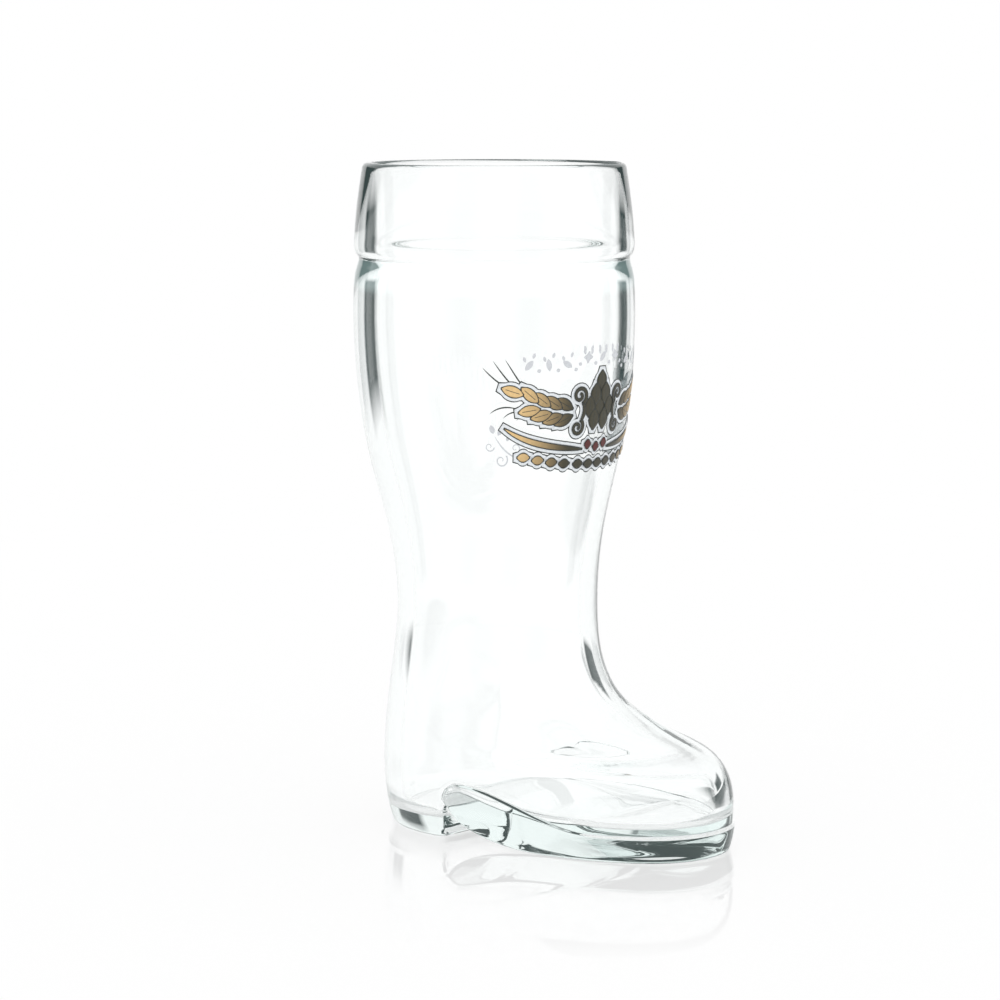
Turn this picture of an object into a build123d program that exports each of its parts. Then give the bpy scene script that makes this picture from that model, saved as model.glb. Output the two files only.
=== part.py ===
"""Half-litre beer boot: a thick clear drinking glass in the shape of a riding boot."""

import os

from build123d import *

# Whole glass
glass_height = 195.0
toe_reach = 82.6
barrel_radius = 41.3
barrel_height = 150.0
wall = 5.8
bottom_thickness = 7.5

# Cuff
shoulder_radius = 40.6
shoulder_height = 166.4
groove_radius = 39.8
groove_height = 1.0
cuff_radius = 41.2
lip_radius = 38.6
cuff_edge_rounding = 1.6
lip_outer_rounding = 1.8
lip_inner_rounding = 1.0

# Ankle and heel
ankle_height = 64.0
ankle_front = 32.4
ankle_back = 29.5
ankle_side = 27.5
heel_back = 33.9
heel_side = 31.6

# Sole
breast_reach = 4.7
breast_lean = 1.0
breast_height = 6.0
arch_width = 4.6
arch_height = 9.4
arch_end = 45.7
welt_ledge = 0.8
welt_height = 7.6
welt_end = 60.0
curl_reach = 8.0
curl_nose_height = 11.2
curl_crest = 15.0
curl_height = 17.0
sole_rounding = 0.8
ledge_rounding = 0.5
floor_rounding = 5.0
hump_dip = 1.0

# Fired print on the front of the leg
ink_thickness = 0.08
ink_clearance = 0.08
print_bottom = 103.0
print_middle = 125.0
print_top = 147.0
panel_turn = 27.0
dark_line = 0.35
silver_line = 0.55
grain_pairs = 4
grain_length = 6.6
grain_width = 3.0
grain_splay = 24.0
row_gap = 2.3
ear_length = 15.0
ear_rise = 4.0
ear_lean = 18.0
scale_rows = (1, 2, 3, 2)
scale_pitch = 4.4
scale_drop = 3.7
scale_length = 5.8
scale_width = 4.0
cone_top = 8.5
berry_size = 2.6
berry_pitch = 3.8
berry_drop = 10.6
bead_count = 4
bead_pitch = 4.7
bead_drop = 15.5
bead_bow = 1.5
bead_length = 3.8
bead_width = 2.4
leaf_count = 3
leaf_pitch = 6.0
leaf_top = 15.5
leaf_tilt = 50.0
leaf_length = 3.6
leaf_width = 1.7

# Shape of the arch in side view
arch_run_share = 0.143
arch_fall_share = 0.6
arch_flat_share = 0.47
crown_share = 0.3
hump_arm_share = 0.6
hump_crest_share = 0.13
hump_foot_share = 0.35

# Shape of a printed motif
tip_share = 0.6
lens_share = 4 / 3
quarter_turn = 90.0

# Shape of the level outlines
level_count = 28
level_gap = 2.0
round_arm_share = 0.5523
toe_arm_share = 0.70
toe_flare_share = 0.068
full_toe_share = 0.16
round_level_share = 0.86
halvings = 40
overrun = 20.0

# Side lines: shares of the way from the ankle out to the toe, heel or barrel, with shares of
# the height from the floor to the ankle, or from the ankle to the widest place of the barrel
toe_line_shares = (
    (0.965, 0.0), (0.995, 0.11), (1.0, 0.215), (0.98, 0.315), (0.915, 0.392), (0.65, 0.466),
    (0.32, 0.545), (0.145, 0.625), (0.05, 0.74), (0.0, 1.0),
)
heel_line_shares = ((0.34, 0.0), (0.92, 0.16), (1.0, 0.34), (0.73, 0.56), (0.26, 0.80), (0.0, 1.0))
flank_line_shares = ((0.40, 0.0), (0.93, 0.17), (1.0, 0.34), (0.76, 0.56), (0.29, 0.80), (0.0, 1.0))
shin_line_shares = ((0.135, 0.326), (0.52, 0.535), (0.865, 0.767), (1.0, 1.0))
calf_line_shares = ((0.26, 0.326), (0.635, 0.535), (0.90, 0.767), (1.0, 1.0))
leg_flank_line_shares = ((0.32, 0.326), (0.68, 0.535), (0.913, 0.767), (1.0, 1.0))

leg_x = (barrel_radius - toe_reach - welt_ledge) / 2
bore_radius = barrel_radius - wall
side_view = Plane(origin=(leg_x, 0, 0), x_dir=(1, 0, 0), z_dir=(0, -1, 0))


def side_line(foot_shares, foot_reach, leg_shares, ankle_reach):
    """One side line of the glass, from the floor over the ankle to the top of the barrel."""
    foot = [
        (ankle_reach + out * (foot_reach - ankle_reach), up * ankle_height)
        for out, up in foot_shares
    ]
    leg = [
        (
            ankle_reach + out * (barrel_radius - ankle_reach),
            ankle_height + up * (barrel_height - ankle_height),
        )
        for out, up in leg_shares
    ]
    with BuildLine():
        line = Spline(*foot, *leg, (shoulder_radius, shoulder_height))
    return line


front_line = side_line(toe_line_shares, toe_reach, shin_line_shares, ankle_front)
back_line = side_line(heel_line_shares, heel_back, calf_line_shares, ankle_back)
flank_line = side_line(flank_line_shares, heel_side, leg_flank_line_shares, ankle_side)


def point_on(line, share, inset=0.0):
    """A point of a side line, moved in square to the line by inset."""
    point = line.position_at(share, position_mode=PositionMode.PARAMETER)
    along = line.tangent_at(share, position_mode=PositionMode.PARAMETER)
    return Vector(point.X - along.Y * inset, point.Y + along.X * inset)


def reach(line, height, inset=0.0):
    """How far a side line, moved in by inset, stands from the leg's axis at a height."""
    low, high = 0.0, 1.0
    for _ in range(halvings):
        middle = (low + high) / 2
        if point_on(line, middle, inset).Y < height:
            low = middle
        else:
            high = middle
    return point_on(line, low, inset).X


def fullness(height):
    """How square the toe is at a height: wholly in the foot, not at all over the ankle."""
    start = full_toe_share * ankle_height
    rise = (height - start) / (round_level_share * ankle_height - start)
    rise = min(max(rise, 0.0), 1.0)
    return 1 - rise * rise * (3 - 2 * rise)


def level_outline(height, back, front, side):
    """The outline of the boot at one height: four curves round the leg's axis."""
    full = fullness(height)
    arm = round_arm_share
    toe_arm = arm + (toe_arm_share - arm) * full
    flare = toe_flare_share * full
    with BuildSketch(Plane((leg_x, 0, height))) as outline:
        with BuildLine():
            Bezier(
                (-back, 0), (-back, arm * side),
                (-arm * back, side - flare * arm * back), (0, side),
            )
            Bezier(
                (0, side), (toe_arm * front, side + flare * toe_arm * front),
                (front, toe_arm * side), (front, 0),
            )
            mirror(about=Plane.XZ)
        make_face()
    return outline.sketch


def outer_level(height, grow=0.0):
    """The outline of the outside of the glass at a height, grown by grow."""
    back, front, side = [reach(line, height) + grow for line in (back_line, front_line, flank_line)]
    return level_outline(height, back, front, side)


def inner_level(height):
    """The outline of the hollow at a height: a wall inside the outside, or the round bore."""
    if height < barrel_height:
        back, front, side = [
            reach(line, height, wall) for line in (back_line, front_line, flank_line)
        ]
    else:
        back = front = side = bore_radius
    return level_outline(height, back, front, side)


def level_heights(inset=0.0, low=0.0, high=shoulder_height):
    """Heights at even steps along the front line, so that they crowd where it runs level."""
    heights = [point_on(front_line, step / level_count, inset).Y for step in range(level_count + 1)]
    between = [height for height in heights if low + level_gap < height < high - level_gap]
    return [low, *between, high]


def make_leg_and_foot(grow=0.0):
    """The outside of the glass up to the shoulder under the cuff, grown by grow."""
    with BuildPart() as body:
        loft([outer_level(height, grow) for height in level_heights()])
    return body.part


def make_cuff():
    """The cuff: a groove over the shoulder, then a thick band that narrows to the lip."""
    foot_z = shoulder_height + groove_height
    with BuildPart() as cuff:
        with BuildSketch(side_view) as profile:
            with BuildLine():
                Polyline(
                    (0, shoulder_height), (groove_radius, shoulder_height), (groove_radius, foot_z),
                    (cuff_radius, foot_z), (lip_radius, glass_height), (0, glass_height), close=True,
                )
            make_face()
            rim = profile.vertices().group_by(Axis.Y)[-1].sort_by(Axis.X)[-1]
            edge = profile.vertices().sort_by(Axis.X)[-1]
            fillet(rim, lip_outer_rounding)
            fillet(edge, cuff_edge_rounding)
        revolve(axis=Axis((leg_x, 0, 0), (0, 0, 1)))
    return cuff.part


def welt_profile():
    """The sole in side view, under a welt line that climbs from the toe and curls over."""
    level = (welt_end - curl_crest) / 3
    drop = (curl_height - curl_nose_height) / 3
    far = toe_reach + overrun
    with BuildSketch(side_view) as profile:
        with BuildLine():
            climb = Bezier(
                (welt_end, welt_height), (welt_end - level, welt_height),
                (curl_crest + level, curl_height), (curl_crest, curl_height),
            )
            curl = Bezier(
                climb @ 1, ((curl_crest + curl_reach) / 2 - 1, curl_height),
                (curl_reach, curl_nose_height + 2 * drop), (curl_reach, curl_nose_height),
            )
            Polyline(
                curl @ 1, (curl_reach, -overrun), (far, -overrun), (far, welt_height), climb @ 0,
            )
        make_face()
    return profile.sketch


def arch_profile():
    """The gap under the arch in side view, between the heel's breast and the sole."""
    breast = breast_reach + breast_lean
    crown_end = breast_reach + arch_width
    run = arch_end - crown_end
    steep_run, steep_fall = arch_run_share * run, arch_fall_share * arch_height
    with BuildSketch(side_view) as profile:
        with BuildLine():
            crown = Bezier(
                (breast, breast_height), (breast + breast_lean / 2, arch_height),
                (crown_end - crown_share * steep_run, arch_height + crown_share * steep_fall),
                (crown_end, arch_height),
            )
            under = Bezier(
                crown @ 1, (crown_end + steep_run, arch_height - steep_fall),
                (crown_end + arch_flat_share * run, 0), (arch_end, 0),
            )
            Polyline(
                under @ 1, (arch_end, -overrun), (breast_reach, -overrun), (breast_reach, 0),
                crown @ 0,
            )
        make_face()
    return profile.sketch


def hump_profile():
    """The hump that the hollow's floor makes over the arch, in side view."""
    crest = arch_height + bottom_thickness
    crest_reach = breast_reach + arch_width + breast_lean
    start, end = breast_reach - bottom_thickness, arch_end + bottom_thickness
    with BuildSketch(side_view) as profile:
        with BuildLine():
            climb = Bezier(
                (start, 0), (start, crest * hump_arm_share),
                (start + (crest_reach - start) * hump_arm_share, crest), (crest_reach, crest),
            )
            fall = Bezier(
                climb @ 1, (crest_reach + (end - crest_reach) * hump_crest_share, crest),
                (crest_reach + (end - crest_reach) * hump_foot_share, bottom_thickness),
                (end, bottom_thickness - hump_dip),
            )
            Polyline(fall @ 1, (end, -overrun), (start, -overrun), climb @ 0)
        make_face()
    return profile.sketch


def make_welt():
    """The sole's ledge: the foot grown a little and cut to the welt's line."""
    with BuildPart() as welt:
        heights = level_heights(high=curl_height + welt_height)
        loft([outer_level(height, welt_ledge) for height in heights])
        extrude(welt_profile(), amount=toe_reach, both=True, mode=Mode.INTERSECT)
    return welt.part


def make_hollow():
    """The space that the beer fills, with its floor humped over the arch."""
    with BuildPart() as hollow:
        heights = level_heights(wall, bottom_thickness, barrel_height)
        loft([inner_level(height) for height in heights])
        extrude(inner_level(barrel_height), amount=glass_height + overrun - barrel_height)
        fillet(hollow.edges().group_by(Axis.Z)[0], floor_rounding)
        extrude(hump_profile(), amount=toe_reach, both=True, mode=Mode.SUBTRACT)
    return hollow.part


def make_glass():
    """The boot glass, one piece of clear glass."""
    with BuildPart() as glass:
        add(make_leg_and_foot())
        add(make_cuff())
        add(make_welt())
        extrude(arch_profile(), amount=toe_reach, both=True, mode=Mode.SUBTRACT)
        fillet(glass.faces().filter_by(Axis.Z).group_by(Axis.Z)[0].edges(), sole_rounding)
        add(make_hollow(), mode=Mode.SUBTRACT)
        lip = glass.edges().group_by(Axis.Z)[-1].sort_by(SortBy.LENGTH)[0]
        fillet(lip, lip_inner_rounding)
    return glass.part


def ear_grains(side):
    """The grains of one barley ear that sweeps outwards: two rows and a tip."""
    grains = []
    for place in range(grain_pairs):
        share = (place + 0.5) / grain_pairs
        along = side * (share - 0.5) * ear_length
        for row in (-1, 1):
            tilt = side * (ear_lean * share + row * grain_splay)
            up = ear_rise * share * share + row * row_gap
            grains.append((along, up, tilt, grain_length, grain_width))
    tip = side * (ear_length + grain_length) / 2
    return grains + [(tip, ear_rise * (1 + tip_share), side * ear_lean, grain_length, grain_width)]


def cone_scales():
    """The scales of the hop cone in the middle: rows of leaves that point down."""
    return [
        (
            (place - (count - 1) / 2) * scale_pitch, cone_top - row * scale_drop,
            quarter_turn, scale_length, scale_width,
        )
        for row, count in enumerate(scale_rows)
        for place in range(count)
    ]


def border_beads(side):
    """A panel's part of the bowed row of beads under the ears."""
    beads = []
    for place in range(bead_count):
        across = (place - (bead_count - 1) / 2) * bead_pitch
        share = across / (bead_count * bead_pitch) + side
        beads.append((across, bead_bow * share * share - bead_drop, 0, bead_length, bead_width))
    return beads


def berries():
    """Three berries under the hop cone."""
    return [
        (place * berry_pitch, abs(place) * berry_size / 3 - berry_drop, 0, berry_size, berry_size)
        for place in (-1, 0, 1)
    ]


def sprinkled_leaves(side):
    """A panel's part of the arc of small leaves over the ears."""
    leaves = []
    for place in range(leaf_count):
        across = (place - (leaf_count - 1) / 2) * leaf_pitch
        tilt = leaf_tilt * (place - side)
        leaves.append((across, leaf_top - abs(side) * leaf_width, tilt, leaf_length, leaf_width))
    return leaves


def stamp(side, motifs, grow=0.0):
    """A panel's motifs as one flat outline, each grown by grow, on a plane in the leg's axis."""
    out = Vector(1, 0, 0).rotate(Axis.Z, side * panel_turn)
    across = Vector(0, 1, 0).rotate(Axis.Z, side * panel_turn)
    with BuildSketch(Plane((leg_x, 0, print_middle), x_dir=across, z_dir=out)) as outline:
        for x, y, tilt, length, width in motifs:
            half, bulge = length / 2 + grow / tip_share, (width / 2 + grow) * lens_share
            with Locations(Location((x, y), tilt)):
                with BuildSketch(mode=Mode.PRIVATE) as lens:
                    with BuildLine():
                        Bezier((-half, 0), (-half / 2, bulge), (half / 2, bulge), (half, 0))
                        mirror(about=Plane.XZ)
                    make_face()
                add(lens.sketch)
    return outline.sketch


def ink_skin(low, high):
    """A thin band round the leg, from low to high over its surface."""
    heights = (print_bottom, print_middle, print_top)
    with BuildPart() as skin:
        with BuildSketch(side_view):
            with BuildLine():
                inner = ThreePointArc(*[(reach(front_line, z) + low, z) for z in heights])
                outer = ThreePointArc(*[(reach(front_line, z) + high, z) for z in heights])
                Line(inner @ 0, outer @ 0)
                Line(inner @ 1, outer @ 1)
            make_face()
        revolve(axis=Axis((leg_x, 0, 0), (0, 0, 1)))
    return skin.part


def make_ink(name, layer, outlines):
    """One colour of the fired print: its outlines cut from the layer that it was printed in."""
    with BuildPart() as ink:
        for outline in outlines:
            extrude(outline, amount=barrel_radius + overrun)
        low = ink_clearance + layer * ink_thickness
        add(ink_skin(low, low + ink_thickness), mode=Mode.INTERSECT)
    ink.part.label = name
    export_step(ink.part, f"parts/{name}.step")


os.makedirs("parts", exist_ok=True)
boot_glass = make_glass()
boot_glass.label = "boot_glass"
export_step(boot_glass, "parts/boot_glass.step")

sides = (-1, 0, 1)
fillings = {side: ear_grains(side) + border_beads(side) for side in sides if side}
fillings[0] = cone_scales() + border_beads(0)
grounds = {**fillings, 0: fillings[0] + berries()}
full_line = dark_line + silver_line
make_ink("print_silver_ground", 0, [stamp(side, grounds[side], full_line) for side in sides])
make_ink("print_dark_line", 1, [stamp(side, grounds[side], dark_line) for side in sides])
make_ink("print_gold_fill", 2, [stamp(side, fillings[side]) for side in sides])
make_ink("print_red_berries", 2, [stamp(0, berries())])
make_ink("print_pale_leaves", 0, [stamp(side, sprinkled_leaves(side)) for side in sides])
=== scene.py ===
"""Half-litre beer boot: a thick clear pressed glass with a fired print, in a white studio."""

import logging
import math
from dataclasses import dataclass, field
from enum import Enum
from typing import Any, ClassVar

import bmesh
import bpy
import numpy as np
from mathutils import Matrix, Vector


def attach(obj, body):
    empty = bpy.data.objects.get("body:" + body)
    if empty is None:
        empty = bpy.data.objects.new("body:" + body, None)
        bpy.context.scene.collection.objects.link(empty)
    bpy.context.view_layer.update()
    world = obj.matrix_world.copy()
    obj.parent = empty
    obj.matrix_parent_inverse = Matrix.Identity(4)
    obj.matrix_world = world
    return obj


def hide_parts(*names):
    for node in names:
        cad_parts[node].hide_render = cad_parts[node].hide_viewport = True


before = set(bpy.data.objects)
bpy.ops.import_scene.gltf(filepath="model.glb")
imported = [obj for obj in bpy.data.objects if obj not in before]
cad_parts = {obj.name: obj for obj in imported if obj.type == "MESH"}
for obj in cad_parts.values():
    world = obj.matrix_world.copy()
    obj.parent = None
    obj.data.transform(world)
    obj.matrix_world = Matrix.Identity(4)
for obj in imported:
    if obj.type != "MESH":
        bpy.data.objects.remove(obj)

MM = 0.001
WELD_REACH = 0.001 * MM
LOG = logging.getLogger("boot_glass")

Colour = tuple[float, float, float]
Points = tuple[tuple[float, float], ...]
WHITE = (1.0, 1.0, 1.0)
BLACK = (0.0, 0.0, 0.0)
SIDEWAYS = Vector((0.0, 1.0, 0.0))
UPWARDS = Vector((0.0, 0.0, 1.0))


class Signal:
    """A shader socket that Python's operators add Math nodes to."""

    def __init__(self, board: "Board", socket: bpy.types.NodeSocket) -> None:
        """Wraps an output socket of the board."""
        self.board = board
        self.socket = socket

    def _math(self, operation: str, *values: "Signal | float") -> "Signal":
        """Adds one Math node on these values."""
        return self.board.node("Math", {"operation": operation}, dict(enumerate(values)))

    def __add__(self, other: "Signal | float") -> "Signal":
        """Adds."""
        return self._math("ADD", self, other)

    def __radd__(self, other: float) -> "Signal":
        """Adds to a number."""
        return self._math("ADD", other, self)

    def __sub__(self, other: "Signal | float") -> "Signal":
        """Takes away."""
        return self._math("SUBTRACT", self, other)

    def __rsub__(self, other: float) -> "Signal":
        """Takes this from a number."""
        return self._math("SUBTRACT", other, self)

    def __mul__(self, other: "Signal | float") -> "Signal":
        """Multiplies."""
        return self._math("MULTIPLY", self, other)

    def __rmul__(self, other: float) -> "Signal":
        """Multiplies a number."""
        return self._math("MULTIPLY", other, self)

    def __truediv__(self, other: "Signal | float") -> "Signal":
        """Divides."""
        return self._math("DIVIDE", self, other)

    def larger(self, other: "Signal | float") -> "Signal":
        """The larger of two values."""
        return self._math("MAXIMUM", self, other)

    def size(self) -> "Signal":
        """The value without its sign."""
        return self._math("ABSOLUTE", self)

    def turn(self) -> "Signal":
        """The angle in radians that has this cosine."""
        return self._math("ARCCOSINE", self)

    def along(self, axis: Vector) -> "Signal":
        """How far a vector reaches along an axis."""
        return self.board.node("VectorMath", {"operation": "DOT_PRODUCT"}, {0: self, 1: axis}, 1)

    def between(self, start: float, end: float) -> "Signal":
        """A smooth rise from 0 at start to 1 at end, level beyond them."""
        return self.board.node(
            "MapRange", {"interpolation_type": "SMOOTHSTEP"},
            {"Value": self, "From Min": start, "From Max": end},
        )


class Board:
    """The node tree of a material or a world, with one method that adds any node."""

    def __init__(self, tree: bpy.types.NodeTree) -> None:
        """Empties the tree that the board fills."""
        self.tree = tree
        tree.nodes.clear()

    def node(
        self,
        kind: str,
        settings: dict[str, Any] | None = None,
        sockets: dict[Any, Any] | None = None,
        output: str | int = 0,
    ) -> Signal | None:
        """Adds one node.

        Args:
            kind: The node's type without its ShaderNode prefix.
            settings: Properties to set first; "stops" fills a colour ramp.
            sockets: Values or Signals for its inputs, by name or place.
            output: The output to hand back, by name or place.

        Returns:
            The output as a Signal, or None for a node without one.
        """
        made = self.tree.nodes.new("ShaderNode" + kind)
        for name, value in (settings or {}).items():
            if name == "stops":
                self._fill_ramp(made.color_ramp, value)
            else:
                setattr(made, name, value)
        for name, value in (sockets or {}).items():
            if isinstance(value, Signal):
                self.tree.links.new(value.socket, made.inputs[name])
            else:
                made.inputs[name].default_value = value
        return Signal(self, made.outputs[output]) if made.outputs else None

    def mix(self, share: Signal, base: Colour, top: Colour) -> Signal:
        """The colour that goes from base to top as share goes from 0 to 1."""
        colours = {"Factor": share, 6: (*base, 1.0), 7: (*top, 1.0)}
        return self.node("Mix", {"data_type": "RGBA"}, colours, output=2)

    @staticmethod
    def _fill_ramp(ramp: bpy.types.ColorRamp, stops: tuple[tuple[float, Any], ...]) -> None:
        """Gives a colour ramp its stops, each a place and a colour.

        Args:
            ramp: The ramp to fill.
            stops: The stops, from the left.
        """
        while len(ramp.elements) < len(stops):
            ramp.elements.new(1.0)
        for element, (place, colour) in zip(ramp.elements, stops):
            element.position = place
            element.color = (*colour, 1.0)


def new_material(name: str) -> tuple[bpy.types.Material, Board]:
    """A new material and the empty board of its nodes.

    Args:
        name: The material's name.

    Returns:
        The material and its board.
    """
    made = bpy.data.materials.new(name)
    made.use_nodes = True
    return made, Board(made.node_tree)


class Ink(Enum):
    """A print layer: CAD node, material name, colour beside the shin, painted shade on the shin,
    metal share.
    """

    # Each ink's fourth item is painted shade: its colour drawn darker on the front of the shin,
    # the gold far darker, as painted reflection of dark surroundings in the metal ink.
    SILVER = ("print_silver_ground", "enamel_silver", (0.88, 0.92, 0.95), (0.84, 0.88, 0.91), 0.0)
    DARK = ("print_dark_line", "enamel_dark", (0.030, 0.036, 0.030), (0.024, 0.030, 0.026), 0.0)
    GOLD = ("print_gold_fill", "enamel_gold", (0.82, 0.57, 0.27), (0.060, 0.056, 0.036), 0.4)
    RED = ("print_red_berries", "enamel_red", (0.10, 0.007, 0.006), (0.09, 0.006, 0.005), 0.0)
    PALE = ("print_pale_leaves", "enamel_pale", (0.66, 0.68, 0.71), (0.66, 0.68, 0.71), 0.0)

    def __init__(
        self, node: str, slot: str, colour: Colour, painted_shade_colour: Colour, metallic: float
    ) -> None:
        """Names the parts of an ink.

        Args:
            node: The CAD node that its films replace.
            slot: The name that its material and films are named with.
            colour: Its colour beside the shin.
            painted_shade_colour: Its painted shade, the darker colour it is drawn with on the
                front of the shin.
            metallic: How much it shines like metal, from 0 to 1.
        """
        self.node = node
        self.slot = slot
        self.colour = colour
        self.painted_shade_colour = painted_shade_colour
        self.metallic = metallic


@dataclass(frozen=True)
class ClearGlass:
    """Thick pressed soda-lime glass with a slight green-grey depth and a soft waviness.

    Light goes on through real glass far past the renderer's limit of bounces. A faint painted
    glow, stronger at the groove, stands in for the light that is lost there.
    """

    ior: float = 1.52
    depth_colour: Colour = (0.80, 0.90, 0.88)
    depth_density: float = 11.0
    ripple_scale: float = 38.0
    ripple_height: float = 0.00012
    ripple_strength: float = 0.25
    painted_glow_colour: Colour = (0.72, 1.0, 0.98)
    painted_glow_light: float = 0.010
    groove_zone: tuple[float, float] = (0.157, 0.168)
    groove_gain: float = 6.0

    def material(self) -> bpy.types.Material:
        """Builds the glass.

        Returns:
            The material.
        """
        made, board = new_material("clear_pressed_glass")
        place = board.node("TexCoord", output="Object")
        ripple = board.node(
            "TexNoise", sockets={"Vector": place, "Scale": self.ripple_scale, "Detail": 1.0}
        )
        normal = board.node(
            "Bump",
            sockets={
                "Height": ripple, "Strength": self.ripple_strength,
                "Distance": self.ripple_height,
            },
        )
        # Painted glow: the glass emits a faint light everywhere, stronger at the groove, in place
        # of light lost to the limit of bounces.
        low, high = self.groove_zone
        middle, half = (low + high) / 2, (high - low) / 2
        in_groove = (place.along(UPWARDS) - middle).size().between(half, half / 2)
        plain_share = 1 / self.groove_gain
        painted_glow = board.mix(in_groove * (1 - plain_share) + plain_share, BLACK, self.painted_glow_colour)
        surface = board.node(
            "BsdfPrincipled",
            sockets={
                "Base Color": (*WHITE, 1.0), "Roughness": 0.0, "IOR": self.ior,
                "Transmission Weight": 1.0, "Normal": normal, "Emission Color": painted_glow,
                "Emission Strength": self.painted_glow_light * self.groove_gain,
            },
        )
        depth = board.node(
            "VolumeAbsorption",
            sockets={"Color": (*self.depth_colour, 1.0), "Density": self.depth_density},
        )
        board.node("OutputMaterial", sockets={"Surface": surface, "Volume": depth})
        return made


@dataclass(frozen=True)
class FiredEnamel:
    """Screen-printed enamel, fired on: a grainy satin film, with painted shade on the front of the
    shin.
    """

    ink: Ink
    roughness: float = 0.34
    roughness_spread: float = 0.1
    bump_strength: float = 0.4
    grain_scale: float = 1400.0
    grain_share: float = 0.16
    grain_height: float = 0.00002
    painted_shade_reach: tuple[float, float] = (0.010, 0.027)

    def material(self) -> bpy.types.Material:
        """Builds the enamel.

        Returns:
            The material.
        """
        made, board = new_material("fired_" + self.ink.slot)
        place = board.node("TexCoord", output="Object")
        grain = board.node(
            "TexNoise", sockets={"Vector": place, "Scale": self.grain_scale, "Detail": 3.0}
        )
        # Painted shade: the colour goes from the ink's own colour beside the shin to its darker
        # painted shade on the shin's front.
        beside = place.along(SIDEWAYS).size().between(*self.painted_shade_reach)
        colour = board.node("HueSaturation", sockets={
            "Value": grain * (2 * self.grain_share) + (1 - self.grain_share),
            "Color": board.mix(beside, self.ink.painted_shade_colour, self.ink.colour),
        })
        normal = board.node("Bump", sockets={
            "Height": grain, "Strength": self.bump_strength, "Distance": self.grain_height,
        })
        surface = board.node("BsdfPrincipled", sockets={
            "Base Color": colour, "Roughness": grain * self.roughness_spread + self.roughness,
            "Metallic": self.ink.metallic, "Normal": normal,
        })
        board.node("OutputMaterial", sockets={"Surface": surface})
        return made


def smooth(share: np.ndarray) -> np.ndarray:
    """Shares from 0 to 1, clipped and eased at both ends."""
    clipped = np.clip(share, 0.0, 1.0)
    return clipped * clipped * (3 - 2 * clipped)


def distance_to(path: np.ndarray, spots: np.ndarray) -> np.ndarray:
    """How far each spot is from a path of straight steps.

    Args:
        path: The path's points, one a row.
        spots: The spots, one a row.

    Returns:
        One distance per spot.
    """
    starts, steps = path[:-1], np.diff(path, axis=0)
    share = ((spots[:, None] - starts) * steps).sum(-1) / (steps**2).sum(-1).clip(1e-9)
    nearest = starts + np.clip(share, 0.0, 1.0)[..., None] * steps
    return np.linalg.norm(spots[:, None] - nearest, axis=-1).min(axis=1)


@dataclass
class SideLine:
    """A side line of the boot: a smooth curve through points of reach and height, in mm."""

    points: Points
    samples: int = 6000
    curve: np.ndarray = field(init=False)
    left: np.ndarray = field(init=False)

    def __post_init__(self) -> None:
        """Works out the curve and its normals once."""
        points = np.array(self.points)
        gaps = np.linalg.norm(np.diff(points, axis=0), axis=1)
        knots = np.concatenate([[0.0], np.cumsum(gaps)])
        bends = self._bends(points, gaps)
        at = np.linspace(0.0, knots[-1], self.samples)
        piece = np.clip(np.searchsorted(knots, at, side="right") - 1, 0, len(gaps) - 1)
        gap = gaps[piece][:, None]
        before = (at - knots[piece])[:, None]
        after = gap - before
        self.curve = (
            (bends[piece] * after**3 + bends[piece + 1] * before**3) / (6 * gap)
            + (points[piece] / gap - bends[piece] * gap / 6) * after
            + (points[piece + 1] / gap - bends[piece + 1] * gap / 6) * before
        )
        along = np.gradient(self.curve, at, axis=0)
        along /= np.linalg.norm(along, axis=1)[:, None]
        self.left = np.stack([-along[:, 1], along[:, 0]], axis=1)

    @staticmethod
    def _bends(points: np.ndarray, gaps: np.ndarray) -> np.ndarray:
        """Second derivatives of a cubic spline whose first two and last two spans are each one.

        Args:
            points: The points that the curve goes through.
            gaps: The distances from each point to the next.

        Returns:
            One second derivative per point.
        """
        count = len(points)
        system = np.zeros((count, count))
        sides = np.zeros((count, 2))
        for row in range(1, count - 1):
            before, after = gaps[row - 1], gaps[row]
            system[row, row - 1 : row + 2] = before, 2 * (before + after), after
            sides[row] = 6 * (
                (points[row + 1] - points[row]) / after - (points[row] - points[row - 1]) / before
            )
        system[0, :3] = gaps[1], -(gaps[0] + gaps[1]), gaps[0]
        system[-1, -3:] = gaps[-1], -(gaps[-2] + gaps[-1]), gaps[-2]
        return np.linalg.solve(system, sides)

    def reach(self, heights: np.ndarray, inset: float = 0.0) -> np.ndarray:
        """How far the line stands from the leg's axis.

        Args:
            heights: The heights to look at.
            inset: How far the line is moved in, square to itself.

        Returns:
            One reach per height.
        """
        moved = self.curve + self.left * inset
        climb = np.maximum.accumulate(moved[:, 1])
        return np.interp(heights, climb, moved[:, 0])


def bezier(corners: Points, samples: int = 80) -> np.ndarray:
    """Points of a cubic Bezier curve.

    Args:
        corners: Its four control points.
        samples: How many points to give.

    Returns:
        The points, one a row.
    """
    share = np.linspace(0.0, 1.0, samples)[:, None]
    first, second, third, fourth = (np.array(corner) for corner in corners)
    rest = 1 - share
    return (
        first * rest**3 + 3 * second * share * rest**2 + 3 * third * share**2 * rest
        + fourth * share**3
    )


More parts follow.
